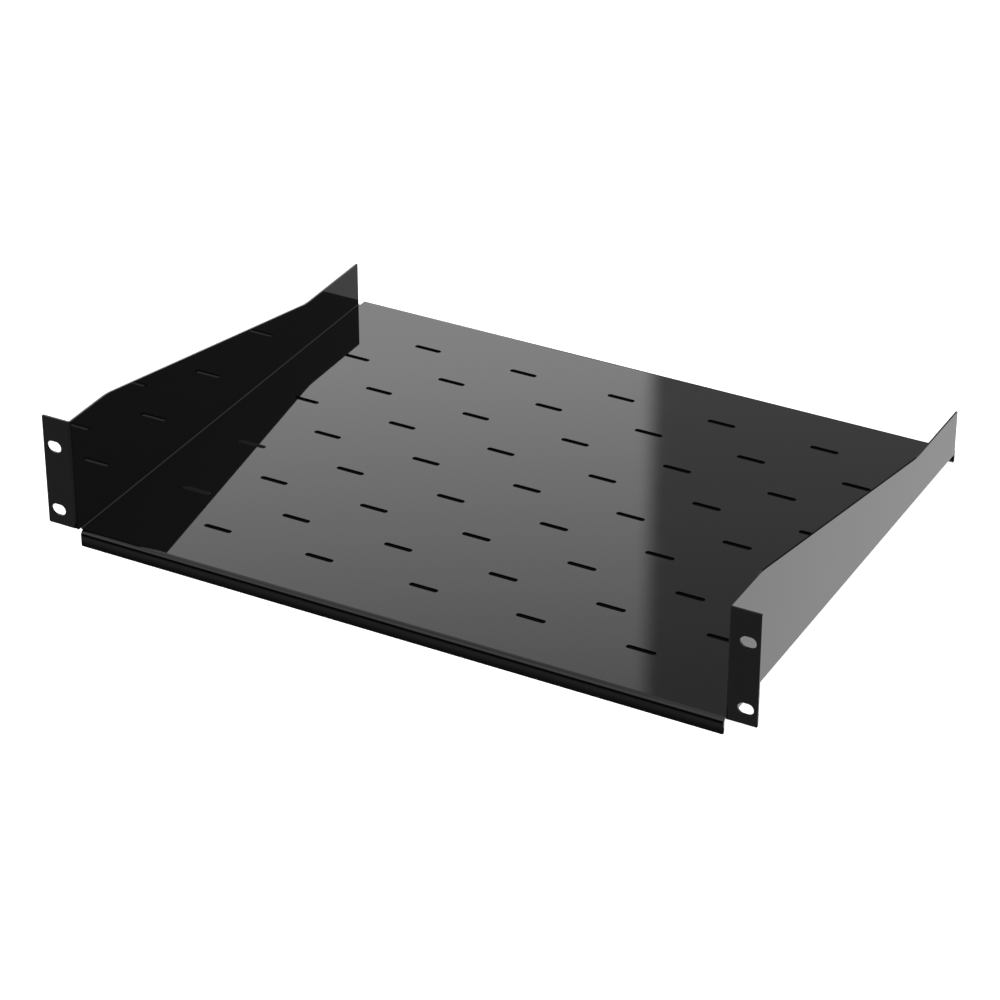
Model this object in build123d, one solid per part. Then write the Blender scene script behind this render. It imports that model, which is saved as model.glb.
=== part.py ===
"""Two-unit shelf for a 19-inch equipment rack, folded from one sheet of steel.

A vented deck has a flange standing along each side and a lip turned down at the
front and at the rear. Each flange turns outward at its front edge into a bolting
ear. All sizes are in millimetres.

Frame: X to the right as seen from the front, Y to the rear, Z up. The origin is the
middle of the four bolt slots, on the rear faces of the ears, where the rack's posts
meet them. The shape is laid out from the top of the deck and the front of the ears,
and moved to that origin at the end.
"""
from build123d import *
import os

# Sheet
SHEET = 1.2                 # thickness
BEND_INSIDE = 0.6           # inside radius of the folds at the flanges and the ears
LIP_BEND_INSIDE = 2.0       # inside radius of the rounder folds at the lips
CORNER_RADIUS = 0.8         # free corners of the ears, lips and flanges

# Rack standard
BOLT_SPACING_X = 465.1      # from the left column of bolts to the right one
BOLT_SPACING_Z = 44.45      # one rack unit

# Ears
EAR_LAND = 2.7              # from the end of a bolt slot out to the ear's edge
EAR_RISE = 2.0              # from the top of the deck up to an ear's lower edge
BOLT_RISE = 12.5            # from the top of the deck up to the lower bolts
BOLT_SLOT_LENGTH = 10.0
BOLT_SLOT_WIDTH = 7.4

# Deck and lips
DECK_DEPTH = 351.7          # from the front lip's face to the rear lip's face
LIP_SETBACK = 1.8           # from the front of the ears back to the front lip's face
LIP_HEIGHT = 10.7           # from the top of the deck down to a lip's lower edge
FOLD_CLEARANCE = 0.8        # from a side fold in to the ends of the lips

# Side flanges
BODY_WIDTH = 442.4          # over the outer faces of both flanges
FLANGE_HEIGHT = 77.4        # from the top of the deck, at the front
TAIL_HEIGHT = 31.4          # from the top of the deck, at the rear
SHOULDER_LENGTH = 42.0      # level stretch at the front, from the front of the ears
TAIL_LENGTH = 68.0          # level stretch at the rear
SHOULDER_RADIUS = 60.0      # where the sloping edge meets the level ones
FRONT_RELIEF = 0.5          # from the front lip's fold back to the side folds
REAR_RELIEF = 4.8           # from the side folds back to the rear lip's fold

# Vents, in rows that are staggered by half a pitch
VENT_LENGTH = 19.6
VENT_WIDTH = 3.8
VENT_PITCH_X = 72.8         # between the vents of one row
VENT_PITCH_Y = 66.6         # between a row and the next row in line with it
VENT_FRONT = 42.6           # from the front lip's face to the first row
VENT_BORDER = 20.0          # plain sheet kept at the sides and the rear, at least

# Worked out from the sizes above
bend_outside = BEND_INSIDE + SHEET
lip_bend_outside = LIP_BEND_INSIDE + SHEET
body_half = BODY_WIDTH / 2
deck_half = body_half - bend_outside - FOLD_CLEARANCE
ear_half = BOLT_SPACING_X / 2 + BOLT_SLOT_LENGTH / 2 + EAR_LAND
lip_front = LIP_SETBACK
lip_rear = LIP_SETBACK + DECK_DEPTH
fold_front = lip_front + lip_bend_outside + FRONT_RELIEF
fold_rear = lip_rear - lip_bend_outside - REAR_RELIEF
bolt_centre = BOLT_RISE + BOLT_SPACING_Z / 2


def channel_section(width, height, bend_inside):
    """A U of sheet that is open upward, with the outer face of its web on the X axis."""
    outer = Pos(0, height / 2) * Rectangle(width, height)
    outer = fillet(outer.vertices().group_by(Axis.Y)[0], bend_inside + SHEET)
    inner = Pos(0, SHEET + height / 2) * Rectangle(width - 2 * SHEET, height)
    inner = fillet(inner.vertices().group_by(Axis.Y)[0], bend_inside)
    return outer - inner


def flange_outline():
    """The side view of a flange and its fold, in Y and Z."""
    shoulder = (SHOULDER_LENGTH, FLANGE_HEIGHT)
    tail = (fold_rear - TAIL_LENGTH, TAIL_HEIGHT)
    tail_corner = (fold_rear, TAIL_HEIGHT)
    outline = Polyline(
        (bend_outside, BEND_INSIDE),
        (fold_front, BEND_INSIDE),
        (fold_front, -SHEET),
        (fold_rear, -SHEET),
        tail_corner,
        tail,
        shoulder,
        (bend_outside, FLANGE_HEIGHT),
        close=True,
    )
    side_view = make_face(outline)
    roundings = {shoulder: SHOULDER_RADIUS, tail: SHOULDER_RADIUS, tail_corner: CORNER_RADIUS}
    for point, radius in roundings.items():
        corner = side_view.vertices().sort_by_distance((*point, 0))[0]
        side_view = fillet(corner, radius)
    return side_view


def make_flanges():
    """Both side flanges with the folds at their feet and the sheet between them."""
    section_plane = Plane(origin=(0, bend_outside, -SHEET), x_dir=(1, 0, 0), z_dir=(0, -1, 0))
    section = channel_section(BODY_WIDTH, FLANGE_HEIGHT + SHEET, BEND_INSIDE)
    channel = extrude(section_plane * section, bend_outside - fold_rear)
    side_plane = Plane(origin=(-body_half, 0, 0), x_dir=(0, 1, 0), z_dir=(1, 0, 0))
    return channel & extrude(side_plane * flange_outline(), BODY_WIDTH)


def make_deck():
    """The deck between the side folds, with the lips at its front and rear."""
    middle = (lip_front + lip_rear) / 2
    section_plane = Plane(origin=(deck_half, middle, 0), x_dir=(0, 1, 0), z_dir=(-1, 0, 0))
    section = channel_section(DECK_DEPTH, LIP_HEIGHT, LIP_BEND_INSIDE)
    deck = extrude(section_plane * section, 2 * deck_half)
    lip_corners = deck.edges().filter_by(Axis.Y).group_by(Axis.Z)[0]
    return fillet(lip_corners, CORNER_RADIUS)


def make_ear():
    """The right ear with the fold that joins it to its flange."""
    fold_x = body_half + BEND_INSIDE
    fold_y = SHEET + BEND_INSIDE
    quarter = Pos(-bend_outside / 2, -bend_outside / 2) * Rectangle(bend_outside, bend_outside)
    fold = Pos(fold_x, fold_y) * ((Circle(bend_outside) - Circle(BEND_INSIDE)) & quarter)
    plate = Pos((fold_x + ear_half) / 2, SHEET / 2) * Rectangle(ear_half - fold_x, SHEET)
    ear = extrude(Pos(0, 0, EAR_RISE) * (fold + plate), FLANGE_HEIGHT - EAR_RISE)
    outer_corners = ear.edges().filter_by(Axis.Y).group_by(Axis.X)[-1]
    return fillet(outer_corners, CORNER_RADIUS)


def vent_places():
    """The middles of the vents, row by row from the front, as many as the deck has room for."""
    half_pitch = VENT_PITCH_X / 2
    row_step = VENT_PITCH_Y / 2
    first_row = lip_front + VENT_FRONT
    last_x = deck_half - VENT_BORDER - VENT_LENGTH / 2
    last_y = lip_rear - bend_outside - VENT_BORDER - VENT_WIDTH / 2
    most_steps = int(last_x / half_pitch)
    rows = int((last_y - first_row) / row_step) + 1
    return [
        (step * half_pitch, first_row + row * row_step)
        for row in range(rows)
        for step in range(-most_steps, most_steps + 1)
        if (step - row) % 2 == 0
    ]


def make_vents():
    """The punches of all the vents, right through the deck."""
    punches = Sketch() + Locations(*vent_places()) * SlotOverall(VENT_LENGTH, VENT_WIDTH)
    return extrude(Pos(0, 0, -SHEET) * punches, SHEET)


def make_bolt_slots():
    """The punches of the four bolt slots, right through the ears."""
    face = Plane(origin=(0, 0, bolt_centre), x_dir=(1, 0, 0), z_dir=(0, -1, 0))
    places = GridLocations(BOLT_SPACING_X, BOLT_SPACING_Z, 2, 2)
    punches = Sketch() + places * SlotOverall(BOLT_SLOT_LENGTH, BOLT_SLOT_WIDTH)
    return extrude(face * punches, -SHEET)


def make_shelf():
    """The whole shelf, moved to the middle of its bolt slots."""
    ear = make_ear()
    folded = make_deck() + make_flanges() + ear + mirror(ear, Plane.YZ)
    punched = folded - make_vents() - make_bolt_slots()
    return Pos(0, -SHEET, -bolt_centre) * punched


shelf = make_shelf()
os.makedirs("parts", exist_ok=True)
export_step(shelf, "parts/shelf.step")
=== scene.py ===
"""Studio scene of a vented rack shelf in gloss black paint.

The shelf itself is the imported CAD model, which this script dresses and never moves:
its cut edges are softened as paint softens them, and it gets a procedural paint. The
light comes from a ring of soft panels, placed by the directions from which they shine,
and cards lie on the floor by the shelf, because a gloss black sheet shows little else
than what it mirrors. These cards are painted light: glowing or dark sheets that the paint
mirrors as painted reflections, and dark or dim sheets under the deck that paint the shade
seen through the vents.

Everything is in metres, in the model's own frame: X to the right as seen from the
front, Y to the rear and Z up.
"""
from __future__ import annotations

import logging
import math
from dataclasses import dataclass, field
from enum import Enum

import bmesh
import bpy
from mathutils import Euler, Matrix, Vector

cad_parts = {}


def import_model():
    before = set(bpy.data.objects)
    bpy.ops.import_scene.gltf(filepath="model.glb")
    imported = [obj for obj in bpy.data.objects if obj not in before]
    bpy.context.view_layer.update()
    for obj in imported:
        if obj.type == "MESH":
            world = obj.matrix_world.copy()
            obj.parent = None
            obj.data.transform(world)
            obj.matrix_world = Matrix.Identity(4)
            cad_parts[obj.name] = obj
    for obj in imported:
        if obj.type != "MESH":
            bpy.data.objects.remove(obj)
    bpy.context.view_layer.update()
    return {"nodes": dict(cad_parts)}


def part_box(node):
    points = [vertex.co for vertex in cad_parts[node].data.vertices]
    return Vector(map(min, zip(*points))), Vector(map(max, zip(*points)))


LOG = logging.getLogger("rack_shelf")
MILLIMETRE = 0.001
MICROMETRE = 0.000001

# Directions of light, in degrees
HALF_TURN = 180.0
ALL_ROUND = HALF_TURN + 1.0          # half width of a panel that goes all round
PAST_UPRIGHT = HALF_TURN / 2 + 1.0   # height of an edge beyond the point overhead
WALL_FOOT = -10.0                    # height of the walls' lower edge, which the lit floor covers

Socket = bpy.types.NodeSocket
Pair = tuple[float, float]
Points = tuple[Pair, ...]


class Blend(Enum):
    """How a value runs between the two ends of a range."""

    LINEAR = "LINEAR"
    SMOOTH = "SMOOTHSTEP"


class View(Enum):
    """What sees a card on the stage: the camera, the paint that mirrors it, or both."""

    ALL = "all"
    CAMERA = "camera"
    PAINT = "paint"


def even(level: float) -> Points:
    """Gives the points of a value that is the same everywhere."""
    return ((0.0, level),)


class NodeDesk:
    """A node tree with short calls that add the nodes of a shader and wire them."""

    def __init__(self, tree: bpy.types.NodeTree) -> None:
        """Empties the tree.

        Args:
            tree: The node tree of a material or of the world.
        """
        self.tree = tree
        self.tree.nodes.clear()

    def add(self, kind: str, **inputs: Socket | float | tuple) -> bpy.types.Node:
        """Adds one node and fills its inputs.

        Args:
            kind: The node's type name in Blender.
            **inputs: Values or output sockets, by the input's name in lower case with
                underscores for blanks.

        Returns:
            The new node.
        """
        node = self.tree.nodes.new(kind)
        for name, value in inputs.items():
            self.plug(node.inputs[name.replace("_", " ").title()], value)
        return node

    def plug(self, socket: Socket, value: Socket | float | tuple) -> None:
        """Links an output to an input, or sets the input's own value.

        Args:
            socket: The input.
            value: An output socket, a number or a tuple.
        """
        if isinstance(value, bpy.types.NodeSocket):
            self.tree.links.new(value, socket)
        else:
            socket.default_value = value

    def math(self, operation: str, *values: Socket | float) -> Socket:
        """Adds a Math node.

        Args:
            operation: The operation's name in Blender.
            *values: The operands.

        Returns:
            The node's result.
        """
        node = self.tree.nodes.new("ShaderNodeMath")
        node.operation = operation
        for socket, value in zip(node.inputs, values):
            self.plug(socket, value)
        return node.outputs[0]

    def mix(self, factor: Socket, first: Socket | float, second: Socket | float) -> Socket:
        """Adds a Mix node for numbers.

        Args:
            factor: How much of the second value there is.
            first: The value at factor 0.
            second: The value at factor 1.

        Returns:
            The mixed value.
        """
        node = self.tree.nodes.new("ShaderNodeMix")
        node.data_type = "FLOAT"
        for socket, value in zip(node.inputs[:1] + node.inputs[2:4], (factor, first, second)):
            self.plug(socket, value)
        return node.outputs[0]

    def spread(self, value: Socket, start: Pair, end: Pair, blend: Blend = Blend.LINEAR) -> Socket:
        """Maps a range of values to another one, and holds it beyond the ends.

        Args:
            value: What is mapped.
            start: A value and what it becomes.
            end: A second value and what it becomes.
            blend: How the result runs between the two.

        Returns:
            The mapped value.
        """
        node = self.tree.nodes.new("ShaderNodeMapRange")
        node.interpolation_type = blend.value
        self.plug(node.inputs["Value"], value)
        for name, number in zip(("From Min", "To Min", "From Max", "To Max"), start + end):
            node.inputs[name].default_value = number
        return node.outputs["Result"]

    def curve(self, value: Socket, points: Points) -> Socket | float:
        """Maps a value along straight lines from point to point, and holds it beyond them.

        Args:
            value: What is mapped.
            points: Values in rising order, each with what it becomes.

        Returns:
            The mapped value, or a plain number if there is only one point.
        """
        result = points[0][1]
        for (start, level), (end, next_level) in zip(points, points[1:]):
            rise = self.spread(value, (start, 0.0), (end, next_level - level))
            result = self.math("ADD", result, rise)
        return result

    def noise(self, place: Socket, length: float, layers: float) -> Socket:
        """Adds a noise.

        Args:
            place: The coordinates that it lies in, in metres.
            length: The size of its features, in metres.
            layers: How many finer layers are on it.

        Returns:
            The noise, from 0 to 1.
        """
        node = self.add("ShaderNodeTexNoise", vector=place, scale=1.0 / length, detail=layers)
        return node.outputs["Fac"]


@dataclass(frozen=True)
class GlossBlackPaint:
    """Smooth gloss paint on steel: nearly a mirror, with a faint skin of its own.

    The peel is the fine unevenness that sprayed paint keeps, and the wave is the long one
    of the sheet below it. The haze makes the paint a little duller in places: roughness
    gives two levels of the haze, each with the paint's roughness there.
    """

    name: str = "black_paint"
    colour: tuple[float, float, float, float] = (0.0012, 0.0012, 0.0013, 1.0)
    refraction: float = 1.5
    roughness: tuple[Pair, Pair] = ((0.35, 0.02), (0.7, 0.035))
    haze_length: float = 30.0 * MILLIMETRE
    haze_layers: float = 3.0
    peel_length: float = 2.2 * MILLIMETRE
    peel_layers: float = 2.0
    peel_height: float = 0.6 * MICROMETRE
    wave_length: float = 90.0 * MILLIMETRE
    wave_layers: float = 0.0
    wave_height: float = 4.0 * MICROMETRE

    def make(self) -> bpy.types.Material:
        """Builds the material.

        Returns:
            The paint, ready for the shelf's material slot.
        """
        paint = bpy.data.materials.new(self.name)
        paint.use_nodes = True
        desk = NodeDesk(paint.node_tree)
        place = desk.add("ShaderNodeTexCoord").outputs["Object"]
        haze = desk.noise(place, self.haze_length, self.haze_layers)
        peel = desk.noise(place, self.peel_length, self.peel_layers)
        wave = desk.noise(place, self.wave_length, self.wave_layers)
        height = desk.math(
            "ADD",
            desk.math("MULTIPLY", peel, self.peel_height),
            desk.math("MULTIPLY", wave, self.wave_height),
        )
        bump = desk.add("ShaderNodeBump", height=height, strength=1.0, distance=1.0)
        shader = desk.add(
            "ShaderNodeBsdfPrincipled",
            base_color=self.colour,
            roughness=desk.spread(haze, *self.roughness),
            normal=bump.outputs["Normal"],
        )
        shader.inputs["IOR"].default_value = self.refraction
        desk.add("ShaderNodeOutputMaterial", surface=shader.outputs["BSDF"])
        return paint


@dataclass
class Shelf:
    """The folded sheet: the CAD node, with its cut edges softened and painted.

    Faces that turn less than the flat angle count as one face, and edges that turn more
    than the edge angle are cut edges.
    """

    node: str = "shelf"
    edge_radius: float = 0.2 * MILLIMETRE
    edge_steps: int = 2
    edge_angle: float = math.radians(30.0)
    flat_angle: float = math.radians(0.3)
    weld_distance: float = 1.0 * MICROMETRE
    paint: GlossBlackPaint = field(default_factory=GlossBlackPaint)

    def dress(self, piece: bpy.types.Object) -> None:
        """Paints the sheet and softens its edges.

        Args:
            piece: The CAD node's object.
        """
        self.soften_edges(piece)
        finish = self.paint.make()
        for slot in piece.material_slots:
            slot.material = finish

    def soften_edges(self, piece: bpy.types.Object) -> None:
        """Rounds the cut edges with modifiers, so that the CAD mesh stays as it is.

        Args:
            piece: The CAD node's object.
        """
        weld = piece.modifiers.new("join_faces", "WELD")
        weld.merge_threshold = self.weld_distance
        merge = piece.modifiers.new("merge_flats", "DECIMATE")
        merge.decimate_type = "DISSOLVE"
        merge.angle_limit = self.flat_angle
        round_off = piece.modifiers.new("soft_edges", "BEVEL")
        round_off.width = self.edge_radius
        round_off.segments = self.edge_steps
        round_off.limit_method = "ANGLE"
        round_off.angle_limit = self.edge_angle
        round_off.use_clamp_overlap = True
        round_off.harden_normals = False
        normals = piece.modifiers.new("flat_faces", "WEIGHTED_NORMAL")
        normals.keep_sharp = True


@dataclass(frozen=True)
class StudioCloth:
    """Matt cloth or paper of the studio, in one grey with a faint mottle.

    The glow is emitted light. On the floor it keeps the floor evenly white; on the cards it is
    painted light, the painted reflections and painted shade that the paint mirrors or that show
    through the vents. It is given at one or more places along Y, in metres, and runs evenly
    from each to the next.
    """

    name: str
    grey: float
    glow: Points
    mottle: float = 0.02
    mottle_length: float = 50.0 * MILLIMETRE
    mottle_layers: float = 2.0

    def make(self) -> bpy.types.Material:
        """Builds the material.

        Returns:
            The cloth, ready for a stage piece.
        """
        cloth = bpy.data.materials.new(self.name)
        cloth.use_nodes = True
        desk = NodeDesk(cloth.node_tree)
        place = desk.add("ShaderNodeTexCoord").outputs["Object"]
        mottle = desk.noise(place, self.mottle_length, self.mottle_layers)
        grey = desk.spread(mottle, (0.0, self.grey * (1.0 - self.mottle)), (1.0, self.grey))
        colour = desk.add("ShaderNodeCombineColor", red=grey, green=grey, blue=grey)
        matt = desk.add("ShaderNodeBsdfDiffuse", color=colour.outputs["Color"], roughness=1.0)
        depth = desk.add("ShaderNodeSeparateXYZ", vector=place).outputs["Y"]
        glow = desk.add("ShaderNodeEmission", strength=desk.curve(depth, self.glow))
        both = desk.tree.nodes.new("ShaderNodeAddShader")
        desk.plug(both.inputs[0], matt.outputs["BSDF"])
        desk.plug(both.inputs[1], glow.outputs["Emission"])
        desk.add("ShaderNodeOutputMaterial", surface=both.outputs["Shader"])
        return cloth


@dataclass(frozen=True)
class Card:
    """A flat card of painted reflection or painted shade by the shelf, laid on the floor or stood on it.

    It is placed in metres in the model's frame, across from left to right and along from
    front to rear. The lift is the height of its front edge above the floor, and the rise
    is how much higher its rear edge is. Its sides lean to the right by the slant for each
    metre to the rear.
    """

    name: str
    cloth: StudioCloth
    view: View
    across: Pair
    along: Pair
    lift: float = 0.2 * MILLIMETRE
    rise: float = 0.0
    slant: float = 0.0

    def corners(self, floor: float) -> list[Vector]:
        """Works out where the card's corners are.

        Args:
            floor: The floor's height, in metres.

        Returns:
            The corners in order, the two in front first.
        """
        (left, right), (front, rear) = self.across, self.along
        low = floor + self.lift
        high = low + self.rise
        places = ((left, front, low), (right, front, low), (right, rear, high), (left, rear, high))
        return [Vector((x + self.slant * y, y, z)) for x, y, z in places]


@dataclass(frozen=True)
class PaintedLightCards:
    """Cards of painted reflection and painted shade on the floor, which the gloss paint mirrors
    and which show through the vents.

    They are set out from the lowest and the highest corner of the shelf's box, and the
    strips below the vents by places in the model's frame, all in metres. A grey card of
    painted reflection lies in front of the shelf and one behind it, and the front lip mirrors
    a banded card of painted reflection and painted shade, with a low dark strip of painted
    shade stood up before it. Below the deck all is dark painted shade, but for strips below
    the two columns of vents at the left: light strips of painted reflection for the flange to
    mirror and a dim painted shade under the front half. These part between the columns, at
    the middle of each, and half way to the rear.
    """

    low: Vector
    high: Vector
    reach: float = 2.5
    margin: float = 3.0 * MILLIMETRE
    ear_width: float = 19.05 * MILLIMETRE
    side_gap: float = 16.9 * MILLIMETRE
    band_depth: float = 14.0 * MILLIMETRE
    band_gap: float = 1.4 * MILLIMETRE
    band_lift: float = 0.4 * MILLIMETRE
    shade_height: float = 8.5 * MILLIMETRE
    band_slant: float = 0.532
    outer_vents: float = -0.184
    between_vents: float = -0.1635
    inner_vents: float = -0.143
    beside_vents: float = -0.1275
    half_way: float = 0.18
    # painted reflections that only the paint mirrors, in front of the shelf and behind it
    front_painted_reflection: StudioCloth = StudioCloth("front_painted_reflection", grey=0.02, glow=even(0.222))
    rear_painted_reflection: StudioCloth = StudioCloth("rear_painted_reflection", grey=0.02, glow=even(0.48))
    # painted shade under the deck, nearly dark with a faint glow
    black: StudioCloth = StudioCloth("under_deck_painted_shade", grey=0.01, glow=even(0.0035))
    # dim painted shade that the camera sees through the front half of the outer left vents
    dim: StudioCloth = StudioCloth("under_deck_dim_painted_shade", grey=0.01, glow=even(0.013))
    # light painted reflection that the left flange mirrors through the vents
    bright_painted_reflection: StudioCloth = StudioCloth("under_deck_painted_reflection", grey=0.01, glow=even(0.26))
    # painted reflection in the front lip: dim near the lip as painted contact shadow, a light band some 6
    # to 9 mm out, and dark beyond as a painted dark line
    lip_painted_reflection_bands: StudioCloth = StudioCloth(
        "lip_painted_reflection_bands",
        grey=0.02,
        glow=((-0.0102, 0.004), (-0.0087, 0.12), (-0.0075, 0.24), (-0.0062, 0.22), (-0.0017, 0.06)),
    )

    @property
    def front(self) -> float:
        """Where the cards in front of the shelf meet those below it."""
        return self.low.y + self.margin

    @property
    def rear(self) -> float:
        """Where the cards below the shelf meet the one behind it."""
        return self.high.y - self.margin

    @property
    def flange(self) -> float:
        """The outer face of the right flange."""
        return self.high.x - self.ear_width

    @property
    def side(self) -> float:
        """The right end of the cards that the camera sees."""
        return self.flange - self.side_gap

    def outside(self) -> list[Card]:
        """Sets out the cards in front of the shelf and behind it.

        Returns:
            The cards.
        """
        far, edge = self.reach, self.front - self.band_depth
        lip = (self.band_gap - self.flange, self.flange - self.band_gap)
        return [
            Card("front_reflection_card", self.front_painted_reflection, View.PAINT, (-far, far), (-far, self.front)),
            Card("lip_reflection_card", self.lip_painted_reflection_bands, View.PAINT, lip, (edge, self.front),
                 lift=self.band_lift, slant=self.band_slant),
            # a standing strip of painted shade, which the lip mirrors as a dark line
            Card("lip_shade", self.black, View.PAINT, lip, (edge, edge),
                 rise=self.shade_height, slant=self.band_slant),
            Card("rear_reflection_card", self.rear_painted_reflection, View.PAINT, (-far, self.side), (self.rear, far)),
        ]

    def below_deck(self) -> list[Card]:
        """Sets out the cards of painted shade and painted reflection below the deck.

        The camera sees other cards through the vents at the left than the left flange
        mirrors there.

        Returns:
            The cards.
        """
        left, right = -self.side, self.side
        outer, inner = (left, self.between_vents), (self.between_vents, self.beside_vents)
        whole = (self.front, self.rear)
        front_half, rear_half = (self.front, self.half_way), (self.half_way, self.rear)
        # painted shade below the deck; at the left, strips of painted reflection for the flange and painted
        # shade for the camera
        return [
            Card("middle_painted_shade", self.black, View.ALL, (self.beside_vents, right), whole),
            Card("right_painted_shade", self.black, View.PAINT, (right, self.flange), whole),
            Card("inner_painted_shade", self.black, View.CAMERA, inner, whole),
            Card("inner_shade", self.black, View.PAINT, (self.between_vents, self.inner_vents), whole),
            Card("inner_painted_reflection", self.bright_painted_reflection, View.PAINT, (self.inner_vents, self.beside_vents), whole),
            Card("left_painted_shade", self.black, View.CAMERA, outer, rear_half),
            Card("left_shade", self.black, View.PAINT, (left, self.outer_vents), rear_half),
            Card("left_painted_reflection", self.bright_painted_reflection, View.PAINT, (self.outer_vents, self.between_vents), rear_half),
            Card("front_vent_painted_shade", self.dim, View.CAMERA, outer, front_half),
            Card("front_vent_painted_reflection", self.bright_painted_reflection, View.PAINT, outer, front_half),
        ]


@dataclass(frozen=True)
class Panel:
    """A soft-edged panel of light, placed by the directions from which it shines.

    Angles are in degrees. The azimuth is counted from the rear, positive to the right, and
    the heights are the elevations of the lower and the upper edge. The radiance is given
    at one or more elevations, and runs evenly from each to the next.
    """

    name: str
    azimuth: float
    half_width: float
    heights: Pair
    radiance: Points
    edge: float = 2.0
    side_edge: float = 2.0

    def lay_over(self, desk: NodeDesk, azimuth: Socket, elevation: Socket, under: Socket | float) -> Socket:
        """Lays the panel over the light that is there already.

        Args:
            desk: The world's node desk.
            azimuth: The azimuth of the direction looked at.
            elevation: Its elevation.
            under: The radiance of what lies under the panel.

        Returns:
            The radiance with the panel.
        """
        turned = desk.math("SUBTRACT", azimuth, self.azimuth)
        aside = desk.math("ABSOLUTE", desk.math("WRAP", turned, -HALF_TURN, HALF_TURN))
        (low, high), side = self.heights, self.half_width
        soft, side_soft = self.edge / 2, self.side_edge / 2
        across = desk.spread(aside, (side - side_soft, 1.0), (side + side_soft, 0.0), Blend.SMOOTH)
        above = desk.spread(elevation, (low - soft, 0.0), (low + soft, 1.0), Blend.SMOOTH)
        below = desk.spread(elevation, (high - soft, 1.0), (high + soft, 0.0), Blend.SMOOTH)
        cover = desk.math("MULTIPLY", across, desk.math("MULTIPLY", above, below))
        return desk.mix(cover, under, desk.curve(elevation, self.radiance))


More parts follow.
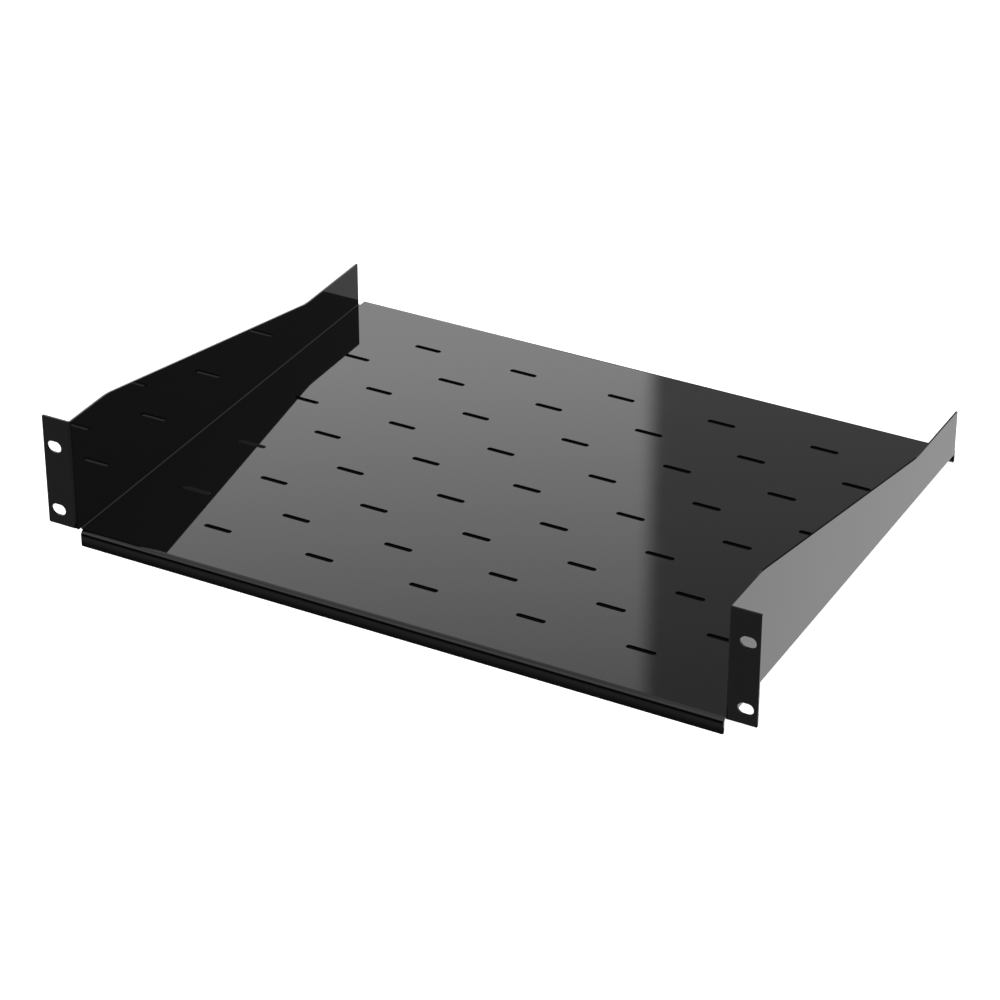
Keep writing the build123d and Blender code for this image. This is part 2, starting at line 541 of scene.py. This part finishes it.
@dataclass
class Studio:
    """A white room: a pale floor, cards of painted reflection and painted shade by the shelf, and panels of
    light all round.

    The room's radiance, where no panel hangs, is given at two elevations in degrees. The
    backdrop is what the camera sees past the floor.
    """

    floor_radius: float = 8.0
    floor_corners: int = 96
    floor_cloth: StudioCloth = StudioCloth("studio_white", grey=0.8, glow=even(0.95))
    backdrop_radiance: float = 1.1
    room_radiance: Points = ((29.0, 0.6), (33.5, 0.4))
    panels: tuple[Panel, ...] = (
        Panel("right_wall", azimuth=60.0, half_width=50.0, heights=(WALL_FOOT, 45.0),
              radiance=even(0.85), edge=6.0, side_edge=16.0),
        Panel("rear_dark", azimuth=-20.0, half_width=40.0, heights=(WALL_FOOT, 20.0),
              radiance=even(0.06), edge=6.0, side_edge=10.0),
        Panel("ceiling", azimuth=0.0, half_width=ALL_ROUND, heights=(45.0, PAST_UPRIGHT),
              radiance=even(0.64), edge=6.0),
        Panel("front_light", azimuth=180.0, half_width=53.0, heights=(14.0, PAST_UPRIGHT),
              radiance=even(1.35), edge=4.0, side_edge=10.0),
        Panel("front_dark", azimuth=180.0, half_width=60.0, heights=(WALL_FOOT, 14.0),
              radiance=even(0.01), edge=4.0, side_edge=16.0),
        Panel("window_top", azimuth=-75.35, half_width=39.35, heights=(37.0, 64.0),
              radiance=even(1.165), edge=3.0, side_edge=4.0),
        Panel("window", azimuth=-70.0, half_width=44.68, heights=(8.0, 38.0),
              radiance=((28.4, 2.7), (34.5, 1.165)), edge=3.0, side_edge=0.5),
        Panel("overhead", azimuth=0.0, half_width=ALL_ROUND, heights=(72.0, PAST_UPRIGHT),
              radiance=even(2.5), edge=16.0),
        Panel("lit_floor", azimuth=0.0, half_width=ALL_ROUND, heights=(-PAST_UPRIGHT, 0.0),
              radiance=((-33.5, 1.61), (-29.0, 1.71))),
    )

    def make_sheet(self, name: str, corners: list[Vector], cloth: StudioCloth) -> bpy.types.Object:
        """Puts one flat sheet on the stage.

        Args:
            name: The sheet's name.
            corners: Its corners, in order.
            cloth: What it is made of.

        Returns:
            The sheet.
        """
        mesh = bpy.data.meshes.new(name)
        shape = bmesh.new()
        shape.faces.new([shape.verts.new(corner) for corner in corners])
        shape.to_mesh(mesh)
        shape.free()
        mesh.materials.append(cloth.make())
        sheet = bpy.data.objects.new(name, mesh)
        bpy.context.scene.collection.objects.link(sheet)
        return sheet

    def make_floor(self, height: float) -> bpy.types.Object:
        """Lays the pale floor that the shelf stands on.

        The paint doesn't mirror it: it mirrors the lit floor among the panels instead.

        Args:
            height: The floor's height, in metres.

        Returns:
            The floor.
        """
        turns = [step * math.tau / self.floor_corners for step in range(self.floor_corners)]
        rim = [
            Vector((self.floor_radius * math.cos(turn), self.floor_radius * math.sin(turn), height))
            for turn in turns
        ]
        floor = self.make_sheet("studio_floor", rim, self.floor_cloth)
        floor.visible_glossy = False
        return floor

    def make_card(self, card: Card, height: float) -> bpy.types.Object:
        """Puts a card on the floor and sets what sees it.

        Args:
            card: The card.
            height: The floor's height, in metres.

        Returns:
            The card's object.
        """
        sheet = self.make_sheet(card.name, card.corners(height), card.cloth)
        sheet.visible_glossy = card.view is not View.CAMERA
        direct = card.view is not View.PAINT
        sheet.visible_camera = sheet.visible_diffuse = sheet.visible_shadow = direct
        return sheet

    def light(self) -> None:
        """Hangs the panels of light round the scene, and a white backdrop behind it."""
        world = bpy.data.worlds.new("studio_light")
        bpy.context.scene.world = world
        world.use_nodes = True
        desk = NodeDesk(world.node_tree)
        direction = desk.add("ShaderNodeTexCoord").outputs["Generated"]
        split = desk.add("ShaderNodeSeparateXYZ", vector=direction).outputs
        azimuth = desk.math("DEGREES", desk.math("ARCTAN2", split["X"], split["Y"]))
        elevation = desk.math("DEGREES", desk.math("ARCSINE", split["Z"]))
        radiance = desk.curve(elevation, self.room_radiance)
        for panel in self.panels:
            radiance = panel.lay_over(desk, azimuth, elevation, radiance)
        seen = desk.add("ShaderNodeLightPath").outputs["Is Camera Ray"]
        shown = desk.mix(seen, radiance, self.backdrop_radiance)
        background = desk.add("ShaderNodeBackground", strength=shown)
        desk.add("ShaderNodeOutputWorld", surface=background.outputs["Background"])


@dataclass(frozen=True)
class PhotoCamera:
    """The camera, from the photograph's side and height.

    The azimuth is counted from the front, positive to the right.
    """

    aim: tuple[float, float, float] = (-0.0156, 0.1697, -0.044)
    azimuth: float = math.radians(28.155)
    elevation: float = math.radians(30.607)
    distance: float = 2.2108
    lens_mm: float = 126.04
    film_mm: float = 36.0

    def place(self) -> bpy.types.Object:
        """Builds the camera and makes it the scene's own.

        Returns:
            The camera.
        """
        lens = bpy.data.cameras.new("photo_camera")
        lens.sensor_width = self.film_mm
        lens.lens = self.lens_mm
        camera = bpy.data.objects.new("photo_camera", lens)
        level = math.cos(self.elevation)
        outward = Vector((
            math.sin(self.azimuth) * level,
            -math.cos(self.azimuth) * level,
            math.sin(self.elevation),
        ))
        camera.location = Vector(self.aim) + outward * self.distance
        camera.rotation_euler = Euler((math.pi / 2 - self.elevation, 0.0, self.azimuth))
        bpy.context.scene.collection.objects.link(camera)
        bpy.context.scene.camera = camera
        return camera


def main() -> None:
    """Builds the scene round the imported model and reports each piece."""
    logging.basicConfig(level=logging.INFO, format="%(name)s: %(message)s")
    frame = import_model()

    shelf = Shelf()
    piece = frame["nodes"][shelf.node]
    shelf.dress(piece)
    LOG.info("dressed %s: %d points", shelf.node, len(piece.data.vertices))

    studio = Studio()
    cards = PaintedLightCards(*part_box(shelf.node))
    floor_height = cards.low.z
    LOG.info("laid %s", studio.make_floor(floor_height).name)
    for card in cards.outside() + cards.below_deck():
        LOG.info("placed %s", studio.make_card(card, floor_height).name)
    studio.light()
    LOG.info("hung %d panels of light", len(studio.panels))

    camera = PhotoCamera().place()
    LOG.info("placed %s", camera.name)

    bpy.context.scene.view_settings.view_transform = "Standard"


if __name__ == "__main__":
    main()
